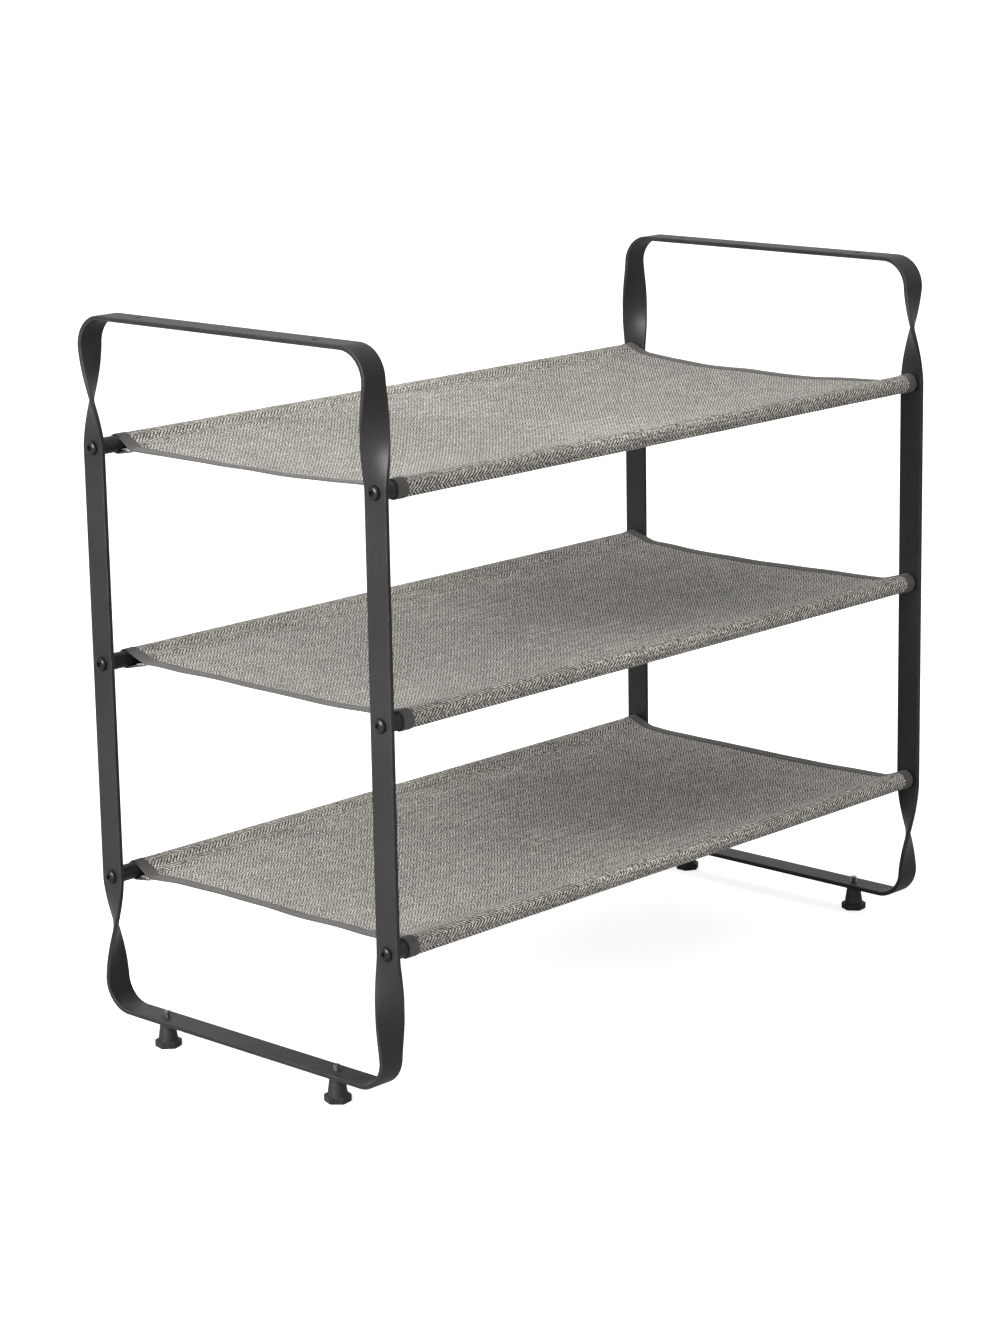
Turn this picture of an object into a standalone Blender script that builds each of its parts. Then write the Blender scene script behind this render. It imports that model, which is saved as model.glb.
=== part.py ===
"""Tiered shoe rack.

Two side frames, each a closed loop of flat steel bar with a quarter twist at every corner, carry
six tube rails on socket screws. Three fabric shelves hang between the rails by sewn sleeves, and
four levelling feet screw up into the base bars.

Frame: the origin is on the floor under the middle of the rack, +X runs along the rails, -Y is the
front and +Z is up. All sizes are in metres.
"""
import math

import bmesh
import bpy
from mathutils import Matrix, Vector

# Driving dimensions.
FRAME_SPACING = 0.677        # between the middle planes of the two side frames
UPRIGHT_SPACING = 0.328      # between the centre lines of a side frame's two uprights
BAR_WIDTH = 0.023
BAR_THICKNESS = 0.004
FRAME_BOTTOM = 0.022         # underside of the base bars, so the height of a foot
FRAME_TOP = 0.616            # top of the handle bars
BEND_RADIUS = 0.025          # at the middle of the bar's thickness
TWIST_LENGTH = 0.084         # from the end of the bend
RAIL_HEIGHTS = (0.137, 0.3215, 0.504)
RAIL_RADIUS = 0.007
RAIL_WALL = 0.0015
HOLE_OFFSET = 0.102          # of the feet and the handle's holes, from the frame's middle
HANDLE_HOLE_RADIUS = 0.0028
SCREW_RADIUS = 0.003         # M6
FOOT_ACROSS_FLATS = 0.020

# Clearances between pieces that touch on the real rack.
GAP = 0.0003
RAIL_END_GAP = 0.0005        # the top rails meet the uprights where their twist is running out

# Screws, threaded inserts and feet.
HEAD_RADIUS = 0.006
HEAD_HEIGHT = 0.0033
SOCKET_ACROSS_FLATS = 0.004
SOCKET_DEPTH = 0.0018
SCREW_REACH = 0.020          # from the upright's outer face to the screw's tip
INSERT_LENGTH = 0.022
INSERT_RECESS = 0.001        # of an insert's face in the rail's end
HEX_HEIGHT = 0.006
CONE_BOTTOM_RADIUS = 0.0084
CONE_TOP_RADIUS = 0.006
STUD_ABOVE_BAR = 0.005
STUD_BOTTOM = 0.008
FOOT_TURNS = {"left_back": -11.0, "left_front": -20.0, "right_front": -23.0, "right_back": 0.0}

# Fabric shelves.
CLOTH_THICKNESS = 0.001
BINDING_THICKNESS = 0.0013
BINDING_WIDTH = 0.0115
SLEEVE_JOIN = 0.026          # inward from the rail's axis to where the sleeve closes
CLOTH_SAG = 0.003
CLOTH_LEFT_GAP = 0.0175      # rail left bare beside the left frame
CLOTH_RIGHT_GAP = 0.0015     # and beside the right one

# Facets.
BAR_BEND_STEPS = 8
BAR_TWIST_STEPS = 20
ROUND_STEPS = 28
SMALL_ROUND_STEPS = 16
SLEEVE_STEPS = 12
SAG_STEPS = 8

# Worked out from the sizes above.
FRAME_X = FRAME_SPACING / 2
UPRIGHT_Y = UPRIGHT_SPACING / 2
FRAME_MIDDLE = (FRAME_TOP + FRAME_BOTTOM) / 2
INNER_FACE_X = FRAME_X - BAR_THICKNESS / 2
OUTER_FACE_X = FRAME_X + BAR_THICKNESS / 2
SLEEVE_RADIUS = RAIL_RADIUS + GAP
SIDES = {"left": -1, "right": 1}
DEPTHS = {"front": -1, "back": 1}
LEVELS = dict(zip(("bottom", "middle", "top"), RAIL_HEIGHTS))

# A flat outline drawn in local X and Y stands in the YZ plane and is thick along X.
STAND_ACROSS = Matrix(((0, 0, 1, 0), (1, 0, 0, 0), (0, 1, 0, 0), (0, 0, 0, 1)))


def clear_scene():
    for old in list(bpy.data.objects):
        bpy.data.objects.remove(old, do_unlink=True)


def new_collection(name):
    collection = bpy.data.collections.new(name)
    bpy.context.scene.collection.children.link(collection)
    return collection


def new_material(name, colour, roughness, metallic=0.0):
    material = bpy.data.materials.new(name)
    material.use_nodes = True
    shader = material.node_tree.nodes["Principled BSDF"]
    shader.inputs["Base Color"].default_value = (*colour, 1.0)
    shader.inputs["Roughness"].default_value = roughness
    shader.inputs["Metallic"].default_value = metallic
    return material


def place(name, data, collection, material=None, matrix=Matrix.Identity(4)):
    piece = bpy.data.objects.new(name, data)
    piece.matrix_world = matrix
    collection.objects.link(piece)
    if material and data.materials.find(material.name) < 0:
        data.materials.append(material)
    return piece


def mesh_from(bm, name, smooth=True):
    mesh = bpy.data.meshes.new(name)
    bm.to_mesh(mesh)
    bm.free()
    if smooth:
        mesh.shade_smooth()
        mesh.set_sharp_from_angle(angle=math.radians(35))
    return mesh


def prism(radius, height, steps, top_radius=None, caps=True):
    """A round or many-sided bar standing on its local origin."""
    bm = bmesh.new()
    bmesh.ops.create_cone(
        bm,
        cap_ends=caps,
        segments=steps,
        radius1=radius,
        radius2=radius if top_radius is None else top_radius,
        depth=height,
        matrix=Matrix.Translation((0, 0, height / 2)),
    )
    return bm


def combine(piece, tool, operation):
    modifier = piece.modifiers.new(f"{operation.lower()} {tool.name}", "BOOLEAN")
    modifier.operation = operation
    modifier.object = tool
    modifier.solver = "EXACT"


def cutter(name, bm, matrix):
    tool = place(name, mesh_from(bm, name, smooth=False), guides, matrix=matrix)
    tool.hide_render = True
    tool.display_type = "WIRE"
    return tool


def baked_mesh(piece):
    """The piece's mesh with its modifiers applied, for copies to share."""
    bpy.context.view_layer.update()
    depsgraph = bpy.context.evaluated_depsgraph_get()
    mesh = bpy.data.meshes.new_from_object(piece.evaluated_get(depsgraph))
    mesh.name = piece.name
    bpy.data.objects.remove(piece)
    return mesh


def along_x(x, y, z, outward):
    """Places a piece so that its local +Z points to -X or +X, as outward says."""
    return Matrix.Translation((x, y, z)) @ Matrix.Rotation(outward * math.pi / 2, 4, "Y")


# Side frames


def twist_share(u):
    """Share of the quarter turn done at share u of the twist's length: even, with eased ends."""
    return 0.5 * u + 0.5 * u * u * (3 - 2 * u)


def extrude_ring(bm, ring, *moves):
    """Extrudes the bar's open end ring and moves the new one; returns it."""
    new = bmesh.ops.extrude_edge_only(bm, edges=ring)["geom"]
    verts = [item for item in new if isinstance(item, bmesh.types.BMVert)]
    for move in moves:
        bmesh.ops.transform(bm, matrix=move, verts=verts)
    return [item for item in new if isinstance(item, bmesh.types.BMEdge)]


def bar_quarter(outward):
    """A quarter of the loop, from the handle's middle to the upright's mid height, open at both."""
    half_height = (FRAME_TOP - FRAME_BOTTOM - BAR_THICKNESS) / 2
    bend_y = UPRIGHT_Y - BEND_RADIUS
    bend_z = half_height - BEND_RADIUS
    bm = bmesh.new()
    section = Matrix.Translation((0, 0, half_height)) @ Matrix.Rotation(math.pi / 2, 4, "X")
    section = section @ Matrix.Diagonal((BAR_WIDTH, BAR_THICKNESS, 1, 1))
    section = section @ Matrix.Rotation(math.pi / 4, 4, "Z")
    bmesh.ops.create_circle(bm, segments=4, radius=math.sqrt(0.5), matrix=section)
    wide_edges = [edge for edge in bm.edges if edge.calc_length() > BAR_WIDTH / 2]
    bmesh.ops.subdivide_edges(bm, edges=wide_edges, cuts=1)
    ring = extrude_ring(bm, bm.edges[:], Matrix.Translation((0, bend_y, 0)))

    bend_axis = Matrix.Translation((0, bend_y, bend_z))
    bend_step = Matrix.Rotation(-math.pi / 2 / BAR_BEND_STEPS, 4, "X")
    for _ in range(BAR_BEND_STEPS):
        ring = extrude_ring(bm, ring, bend_axis @ bend_step @ bend_axis.inverted())

    upright_axis = Matrix.Translation((0, UPRIGHT_Y, 0))
    down = Matrix.Translation((0, 0, -TWIST_LENGTH / BAR_TWIST_STEPS))
    for i in range(BAR_TWIST_STEPS):
        share = twist_share((i + 1) / BAR_TWIST_STEPS) - twist_share(i / BAR_TWIST_STEPS)
        turn = Matrix.Rotation(-outward * share * math.pi / 2, 4, "Z")
        ring = extrude_ring(bm, ring, down, upright_axis @ turn @ upright_axis.inverted())
    extrude_ring(bm, ring, Matrix.Translation((0, 0, TWIST_LENGTH - bend_z)))
    bmesh.ops.recalc_face_normals(bm, faces=bm.faces)
    return bm


def side_frame(side, outward, material):
    name = f"side_frame_{side}"
    x = outward * FRAME_X
    frame = place(
        name,
        mesh_from(bar_quarter(outward), name),
        rack,
        material,
        Matrix.Translation((x, 0, FRAME_MIDDLE)),
    )
    mirror = frame.modifiers.new("four quarters", "MIRROR")
    mirror.use_axis = (False, True, True)
    mirror.merge_threshold = 0.0001

    bar_cut = 4 * BAR_THICKNESS
    screw_hole = SCREW_RADIUS + GAP
    for depth, y_sign in DEPTHS.items():
        for level, z in LEVELS.items():
            start = along_x(x - outward * bar_cut / 2, y_sign * UPRIGHT_Y, z, outward)
            drill = cutter(
                f"drill_{side}_{depth}_{level}", prism(screw_hole, bar_cut, SMALL_ROUND_STEPS), start
            )
            combine(frame, drill, "DIFFERENCE")
        y = y_sign * HOLE_OFFSET
        for role, radius, z in (
            ("stud", SCREW_RADIUS + GAP, FRAME_BOTTOM + BAR_THICKNESS / 2),
            ("handle", HANDLE_HOLE_RADIUS, FRAME_TOP - BAR_THICKNESS / 2),
        ):
            drill = cutter(
                f"drill_{side}_{depth}_{role}",
                prism(radius, bar_cut, SMALL_ROUND_STEPS),
                Matrix.Translation((x, y, z - bar_cut / 2)),
            )
            combine(frame, drill, "DIFFERENCE")


# Rails, inserts and screws


def tube_mesh(name, radius, wall, length, steps):
    """An open-ended tube along X, its middle at the origin."""
    bm = prism(radius, length, steps, caps=False)
    centre = Matrix.Rotation(math.pi / 2, 4, "Y") @ Matrix.Translation((0, 0, -length / 2))
    bmesh.ops.transform(bm, matrix=centre, verts=bm.verts)
    tube = place(name, mesh_from(bm, name), guides)
    wall_modifier = tube.modifiers.new("wall", "SOLIDIFY")
    wall_modifier.thickness = wall
    wall_modifier.offset = -1
    mesh = baked_mesh(tube)
    mesh.shade_smooth()
    mesh.set_sharp_from_angle(angle=math.radians(35))
    return mesh


def screw_mesh():
    """A button-head socket screw along Z, the underside of its head at the origin."""
    profile = [Vector((0, 0, HEAD_HEIGHT)), Vector((0.45 * HEAD_RADIUS, 0, HEAD_HEIGHT))]
    for i in range(1, 4):
        share = i / 3 * math.pi / 2
        reach = 0.45 + 0.55 * math.sin(share)
        rise = 0.2 + 0.8 * math.cos(share)
        profile.append(Vector((reach * HEAD_RADIUS, 0, rise * HEAD_HEIGHT)))
    shank = SCREW_REACH + GAP
    tip = 0.0006
    profile += [
        Vector((HEAD_RADIUS, 0, 0)),
        Vector((SCREW_RADIUS, 0, 0)),
        Vector((SCREW_RADIUS, 0, tip - shank)),
        Vector((SCREW_RADIUS - tip, 0, -shank)),
        Vector((0, 0, -shank)),
    ]
    bm = bmesh.new()
    points = [bm.verts.new(point) for point in profile]
    for a, b in zip(points, points[1:]):
        bm.edges.new((a, b))
    screw = place("screw_form", mesh_from(bm, "screw_form", smooth=False), guides)
    turn = screw.modifiers.new("turn", "SCREW")
    turn.axis = "Z"
    turn.steps = turn.render_steps = SMALL_ROUND_STEPS
    turn.use_merge_vertices = True
    turn.merge_threshold = 0.00001
    socket = cutter(
        "socket_form",
        prism(SOCKET_ACROSS_FLATS / math.sqrt(3), HEAD_HEIGHT, 6),
        Matrix.Translation((0, 0, HEAD_HEIGHT - SOCKET_DEPTH)),
    )
    combine(screw, socket, "DIFFERENCE")
    mesh = baked_mesh(screw)
    bpy.data.objects.remove(socket)
    mesh.shade_smooth()
    mesh.set_sharp_from_angle(angle=math.radians(35))
    return mesh


def rails_and_screws(rail_material, insert_material, screw_material):
    length = 2 * (INNER_FACE_X - RAIL_END_GAP)
    rail = tube_mesh("rail", RAIL_RADIUS, RAIL_WALL, length, ROUND_STEPS)
    insert_radius = RAIL_RADIUS - RAIL_WALL - GAP
    insert_wall = insert_radius - SCREW_RADIUS - GAP
    insert = tube_mesh("insert", insert_radius, insert_wall, INSERT_LENGTH, SMALL_ROUND_STEPS)
    screw = screw_mesh()
    for level, z in LEVELS.items():
        for depth, y_sign in DEPTHS.items():
            y = y_sign * UPRIGHT_Y
            seat = Matrix.Translation((0, y, z))
            place(f"rail_{level}_{depth}", rail, rack, rail_material, seat)
            for side, outward in SIDES.items():
                spot = f"{level}_{depth}_{side}"
                insert_x = outward * ((length - INSERT_LENGTH) / 2 - INSERT_RECESS)
                seat = Matrix.Translation((insert_x, y, z))
                place(f"rail_insert_{spot}", insert, rack, insert_material, seat)
                seat = along_x(outward * (OUTER_FACE_X + GAP), y, z, outward)
                place(f"rail_screw_{spot}", screw, rack, screw_material, seat)


# Feet


def glide_mesh():
    """A hexagonal base with a cone on it, bored for the stud, standing on its local origin."""
    corner_radius = FOOT_ACROSS_FLATS / math.sqrt(3)
    name = "foot_glide"
    base = place(name, mesh_from(prism(corner_radius, HEX_HEIGHT, 6), name, False), guides)
    cone_height = FRAME_BOTTOM - GAP - HEX_HEIGHT
    cone = cutter(
        "glide_cone",
        prism(CONE_BOTTOM_RADIUS, cone_height + GAP, ROUND_STEPS, CONE_TOP_RADIUS),
        Matrix.Translation((0, 0, HEX_HEIGHT - GAP)),
    )
    bore = cutter(
        "glide_bore",
        prism(SCREW_RADIUS + GAP, FRAME_BOTTOM, SMALL_ROUND_STEPS),
        Matrix.Translation((0, 0, STUD_BOTTOM - GAP)),
    )
    combine(base, cone, "UNION")
    combine(base, bore, "DIFFERENCE")
    mesh = baked_mesh(base)
    for tool in (cone, bore):
        bpy.data.objects.remove(tool)
    mesh.shade_smooth()
    mesh.set_sharp_from_angle(angle=math.radians(35))
    return mesh


def feet(stud_material, glide_material):
    stud_length = FRAME_BOTTOM + BAR_THICKNESS + STUD_ABOVE_BAR - STUD_BOTTOM
    stud = mesh_from(prism(SCREW_RADIUS, stud_length, SMALL_ROUND_STEPS), "foot_stud")
    glide = glide_mesh()
    for side, outward in SIDES.items():
        for depth, y_sign in DEPTHS.items():
            corner = f"{side}_{depth}"
            seat = Matrix.Translation((outward * FRAME_X, y_sign * HOLE_OFFSET, 0))
            turned = seat @ Matrix.Rotation(math.radians(FOOT_TURNS[corner]), 4, "Z")
            place(f"foot_glide_{corner}", glide, rack, glide_material, turned)
            lifted = seat @ Matrix.Translation((0, 0, STUD_BOTTOM))
            place(f"foot_stud_{corner}", stud, rack, stud_material, lifted)


# Fabric shelves


def sleeve_arc(radius, rail_y):
    """Points round the rail's outer side, between where the cloth meets it and leaves it."""
    leave = math.acos(SLEEVE_RADIUS / SLEEVE_JOIN)
    inward = -math.copysign(1, rail_y)
    points = []
    for i in range(SLEEVE_STEPS + 1):
        angle = leave + (2 * math.pi - 2 * leave) * (1 - i / SLEEVE_STEPS)
        points.append((rail_y + inward * radius * math.cos(angle), radius * math.sin(angle)))
    return points


def shelf_outlines(thickness):
    """The cloth's section in Y and Z about the rails' axes: the outside, then a hole per sleeve."""
    slope = math.asin(SLEEVE_RADIUS / SLEEVE_JOIN)
    run_out = (thickness / math.cos(slope) - thickness / 2) / math.tan(slope)
    sheet_end = UPRIGHT_Y - SLEEVE_JOIN - run_out
    steps = [1 - 2 * i / SAG_STEPS for i in range(SAG_STEPS + 1)]
    top = [(sheet_end * s, thickness / 2 - CLOTH_SAG * (1 - s * s)) for s in steps]
    under = [(y, height - thickness) for y, height in top[::-1]]
    right = sleeve_arc(SLEEVE_RADIUS + thickness, UPRIGHT_Y)
    left = sleeve_arc(SLEEVE_RADIUS + thickness, -UPRIGHT_Y)
    holes = []
    for rail_y in (-UPRIGHT_Y, UPRIGHT_Y):
        join = (rail_y - math.copysign(SLEEVE_JOIN, rail_y), 0.0)
        holes.append(sleeve_arc(SLEEVE_RADIUS, rail_y) + [join])
    return [right + top + left[::-1] + under, *holes]


def shelf_strip(name, thickness, x_low, x_high, z, material):
    """A length of the shelf's section, from x_low to x_high."""
    outline = bpy.data.curves.new(name, "CURVE")
    outline.dimensions = "2D"
    outline.fill_mode = "BOTH"
    outline.extrude = (x_high - x_low) / 2
    for points in shelf_outlines(thickness):
        spline = outline.splines.new("POLY")
        spline.points.add(len(points) - 1)
        for point, (y, height) in zip(spline.points, points):
            point.co = (y, height, 0, 1)
        spline.use_cyclic_u = True
    seat = Matrix.Translation(((x_low + x_high) / 2, 0, z)) @ STAND_ACROSS
    place(name, outline, rack, material, seat)


def shelves(cloth_material, binding_material):
    left_edge = -INNER_FACE_X + CLOTH_LEFT_GAP
    right_edge = INNER_FACE_X - CLOTH_RIGHT_GAP
    for level, z in LEVELS.items():
        cloth_low = left_edge + BINDING_WIDTH
        cloth_high = right_edge - BINDING_WIDTH
        shelf_strip(f"shelf_fabric_{level}", CLOTH_THICKNESS, cloth_low, cloth_high, z, cloth_material)
        for side, low, high in (
            ("left", left_edge, cloth_low - GAP),
            ("right", cloth_high + GAP, right_edge),
        ):
            name = f"edge_binding_{level}_{side}"
            shelf_strip(name, BINDING_THICKNESS, low, high, z, binding_material)


clear_scene()
rack = new_collection("tiered_shoe_rack")
guides = new_collection("cutters")
powder_coat = new_material("powder_coat", (0.045, 0.043, 0.042), 0.55)
rail_coat = new_material("rail_coat", (0.040, 0.038, 0.036), 0.50)
black_screw = new_material("black_screw", (0.030, 0.030, 0.032), 0.35, 0.6)
zinc_steel = new_material("zinc_steel", (0.30, 0.30, 0.31), 0.40, 1.0)
stud_steel = new_material("stud_steel", (0.08, 0.08, 0.085), 0.38, 0.9)
glide_plastic = new_material("glide_plastic", (0.035, 0.034, 0.033), 0.60)
grey_weave = new_material("grey_weave", (0.33, 0.31, 0.28), 0.95)
grey_tape = new_material("grey_tape", (0.17, 0.16, 0.15), 0.90)

for frame_side, frame_outward in SIDES.items():
    side_frame(frame_side, frame_outward, powder_coat)
rails_and_screws(rail_coat, zinc_steel, black_screw)
feet(stud_steel, glide_plastic)
shelves(grey_weave, grey_tape)
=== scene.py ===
"""Looks for the tiered shoe rack.

Twisted flat-bar side frames, tube rails on button screws, woven shelves with taped edges sewn round
the rails, and levelling feet on threaded studs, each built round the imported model. All sizes are in
metres, +X runs along the rails, -Y is the front and +Z is up.
"""
import bisect
import math
import random

import bmesh
import bpy
from mathutils import Matrix, Vector, noise


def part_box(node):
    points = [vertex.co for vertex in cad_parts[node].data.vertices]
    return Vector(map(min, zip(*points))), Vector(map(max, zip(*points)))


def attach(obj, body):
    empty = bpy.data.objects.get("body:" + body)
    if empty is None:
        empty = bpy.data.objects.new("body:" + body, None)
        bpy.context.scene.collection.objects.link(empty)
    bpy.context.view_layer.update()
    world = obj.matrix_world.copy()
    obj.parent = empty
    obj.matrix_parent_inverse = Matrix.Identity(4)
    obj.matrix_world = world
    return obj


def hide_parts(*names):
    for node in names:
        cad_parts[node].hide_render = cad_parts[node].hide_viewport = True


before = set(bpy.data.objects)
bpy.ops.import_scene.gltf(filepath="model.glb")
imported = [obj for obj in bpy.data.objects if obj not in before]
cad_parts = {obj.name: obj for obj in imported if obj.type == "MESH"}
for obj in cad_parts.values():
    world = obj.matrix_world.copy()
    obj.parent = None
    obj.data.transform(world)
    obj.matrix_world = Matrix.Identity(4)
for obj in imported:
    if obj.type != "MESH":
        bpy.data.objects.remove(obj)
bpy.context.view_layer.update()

SIDES = {"left": -1, "right": 1}
DEPTHS = {"front": -1, "back": 1}
LEVELS = ("bottom", "middle", "top")

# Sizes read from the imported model.
bar_low, bar_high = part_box("side_frame_right")
BAR_WIDTH = bar_high.x - bar_low.x
FRAME_X = (bar_low.x + bar_high.x) / 2
UPRIGHT_Y = bar_high.y - BAR_WIDTH / 2
FRAME_BOTTOM, FRAME_TOP = bar_low.z, bar_high.z
rail_low, rail_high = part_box("rail_top_front")
RAIL_RADIUS = (rail_high.z - rail_low.z) / 2
RAIL_END_X = rail_high.x
RAIL_Z = {
    level: sum(corner.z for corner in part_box(f"rail_{level}_front")) / 2 for level in LEVELS
}
screw_low, screw_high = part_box("rail_screw_top_front_right")
HEAD_RADIUS = (screw_high.z - screw_low.z) / 2
SCREW_TIP_X = screw_low.x
SCREW_TOP_X = screw_high.x
stud_low, stud_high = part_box("foot_stud_right_front")
STUD_RADIUS = (stud_high.x - stud_low.x) / 2
FOOT_Y = abs(stud_high.y + stud_low.y) / 2
tape_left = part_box("edge_binding_top_left")
tape_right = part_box("edge_binding_top_right")
CLOTH_LEFT, CLOTH_RIGHT = tape_left[0].x, tape_right[1].x
TAPE_WIDTH = tape_left[1].x - tape_left[0].x

# Bar and its bends.
BAR_THICKNESS = 0.004
BAR_EDGE = 0.0008
BEND_RADIUS = 0.025
TWIST_LENGTH = 0.084
BEND_STEPS = 14
TWIST_STEPS = 48

# Screws and feet.
HEAD_HEIGHT = 0.0033
SOCKET_RADIUS = 0.0023
SOCKET_DEPTH = 0.0018
HANDLE_HOLE = 0.0028
THREAD_PITCH = 0.001
THREAD_DEPTH = 0.0006
HEX_HEIGHT = 0.006
CONE_BOTTOM = 0.0084
CONE_TOP = 0.006
FOOT_TURNS = {"left_back": -11.0, "left_front": -20.0, "right_front": -23.0, "right_back": 0.0}

# Shelf cloth.
CLOTH_THICKNESS = 0.0007
TAPE_THICKNESS = 0.00035
CLOTH_RADIUS = 0.00765       # middle of the cloth's thickness, round the rail's axis
JOIN_IN = {"bottom": 0.020, "middle": 0.026, "top": 0.019}  # rail's axis inward to the seam
LAYER_STEP = 0.00072         # between the layers sewn together at the seam
CREASE_RUN = 0.004           # over which the sheet bends up into the sleeve, each way
HEM_ALLOWANCE = 0.012
STITCH_PITCH = 0.0040
STITCH_LENGTH = 0.0026
STITCH_WIDTH = 0.00036
TAPE_INSET = 0.0006          # of the cloth inside the tape that wraps its edge
EDGE_SKEW = 0.0033           # how far the left edge runs out of square at each rail
EDGE_BOW = 0.0055            # how far each side edge is drawn in at mid depth
MOUTH_REACH = 0.11           # of a mouth's droop along its rail
EDGE_CURL = 0.0012           # rise of a side edge above the sheet beside it
CURL_REACH = 0.016
EDGE_SAG = {"bottom": 0.0028, "middle": 0.0028, "top": 0.0064}
MIDDLE_SAG = {"bottom": 0.0042, "middle": 0.0042, "top": 0.0058}
MOUTH_DROOP = {
    "bottom": {"back": 0.0042, "front": -0.0028},
    "middle": {"back": 0.0010, "front": -0.0020},
    "top": {"back": 0.0040, "front": -0.0006},
}


# ---------------------------------------------------------------- mesh helpers


def finished(name, bm, finish, sharp=35.0):
    """A piece from a bmesh, smooth apart from its sharp edges."""
    mesh = bpy.data.meshes.new(name)
    bm.to_mesh(mesh)
    bm.free()
    mesh.shade_smooth()
    mesh.set_sharp_from_angle(angle=math.radians(sharp))
    piece = bpy.data.objects.new(name, mesh)
    bpy.context.scene.collection.objects.link(piece)
    mesh.materials.append(finish)
    return piece


def settled(piece, sharp=35.0):
    """Applies the piece's modifiers to its mesh."""
    bpy.context.view_layer.update()
    shape = piece.evaluated_get(bpy.context.evaluated_depsgraph_get())
    mesh = bpy.data.meshes.new_from_object(shape)
    piece.modifiers.clear()
    old, piece.data = piece.data, mesh
    name = old.name
    bpy.data.meshes.remove(old)
    mesh.name = name
    mesh.shade_smooth()
    mesh.set_sharp_from_angle(angle=math.radians(sharp))
    return piece


def even_shading(piece):
    """Keeps flat faces flat beside rounded edges."""
    weighted = piece.modifiers.new("even shading", "WEIGHTED_NORMAL")
    weighted.keep_sharp = True
    weighted.weight = 60


def cut_away(piece, bm):
    """Takes the bmesh's solids out of the piece."""
    tool = finished(f"{piece.name}_cutter", bm, piece.data.materials[0])
    modifier = piece.modifiers.new("cut", "BOOLEAN")
    modifier.operation = "DIFFERENCE"
    modifier.object = tool
    modifier.solver = "EXACT"
    settled(piece)
    bpy.data.objects.remove(tool)


def turned(bm, profile, steps):
    """Spins a profile of points in X and Z once round the Z axis."""
    points = [bm.verts.new((x, 0, z)) for x, z in profile]
    edges = [bm.edges.new(pair) for pair in zip(points, points[1:])]
    bmesh.ops.spin(
        bm,
        geom=points + edges,
        axis=(0, 0, 1),
        cent=(0, 0, 0),
        angle=2 * math.pi,
        steps=steps,
        use_merge=True,
    )
    bmesh.ops.remove_doubles(bm, verts=bm.verts, dist=0.000005)
    bmesh.ops.recalc_face_normals(bm, faces=bm.faces)


def placed(piece, matrix, body, slot, *nodes):
    """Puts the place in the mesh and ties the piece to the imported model."""
    piece.data.transform(matrix)
    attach(piece, body)
    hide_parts(*nodes)
    return piece


def toward(outward, x, y, z):
    """Lays local +Z along -X or +X, as outward says."""
    return Matrix.Translation((x, y, z)) @ Matrix.Rotation(outward * math.pi / 2, 4, "Y")


# ---------------------------------------------------------------- finishes


def add(tree, kind, inputs=None, **options):
    """Adds a node; its inputs are sockets to link or values to set."""
    made = tree.nodes.new(kind)
    for option, value in options.items():
        setattr(made, option, value)
    for key, value in (inputs or {}).items():
        if isinstance(value, bpy.types.NodeSocket):
            tree.links.new(value, made.inputs[key])
        else:
            made.inputs[key].default_value = value
    return made


def calc(tree, operation, a, b=0.0, c=0.0):
    return add(tree, "ShaderNodeMath", {0: a, 1: b, 2: c}, operation=operation).outputs[0]


def blend(tree, share, a, b, kind="MIX"):
    """Mixes two colours; each is a socket or three numbers."""
    a, b = (side if isinstance(side, bpy.types.NodeSocket) else (*side, 1.0) for side in (a, b))
    mixed = add(tree, "ShaderNodeMix", {0: share, 6: a, 7: b}, data_type="RGBA", blend_type=kind)
    return mixed.outputs[2]


def spread(tree, value, low, high, to_low=0.0, to_high=1.0):
    """Maps a value from one range to another, held at the ends."""
    inputs = {0: value, 1: low, 2: high, 3: to_low, 4: to_high}
    return add(tree, "ShaderNodeMapRange", inputs, clamp=True).outputs[0]


def cloud(tree, place, scale, detail=2.0, roughness=0.5):
    inputs = {"Vector": place, "Scale": scale, "Detail": detail, "Roughness": roughness}
    return add(tree, "ShaderNodeTexNoise", inputs).outputs[0]


def effect(name, inputs, outputs):
    """An empty shader node group with the sockets named."""
    group = bpy.data.node_groups.new(name, "ShaderNodeTree")
    for label, (kind, value) in inputs.items():
        socket = group.interface.new_socket(name=label, in_out="INPUT", socket_type=kind)
        socket.default_value = value
    for label, kind in outputs.items():
        group.interface.new_socket(name=label, in_out="OUTPUT", socket_type=kind)
    return group, group.nodes.new("NodeGroupInput").outputs, group.nodes.new("NodeGroupOutput")


def hand_out(group, outlet, **values):
    for label, socket in values.items():
        group.links.new(socket, outlet.inputs[label.replace("_", " ").capitalize()])


def use(tree, group, **inputs):
    named = {label.replace("_", " ").capitalize(): value for label, value in inputs.items()}
    made = tree.nodes.new("ShaderNodeGroup")
    made.node_tree = group
    for key, value in named.items():
        if isinstance(value, bpy.types.NodeSocket):
            tree.links.new(value, made.inputs[key])
        else:
            made.inputs[key].default_value = value
    return made.outputs


FLOAT, VECTOR, COLOUR = "NodeSocketFloat", "NodeSocketVector", "NodeSocketColor"


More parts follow.
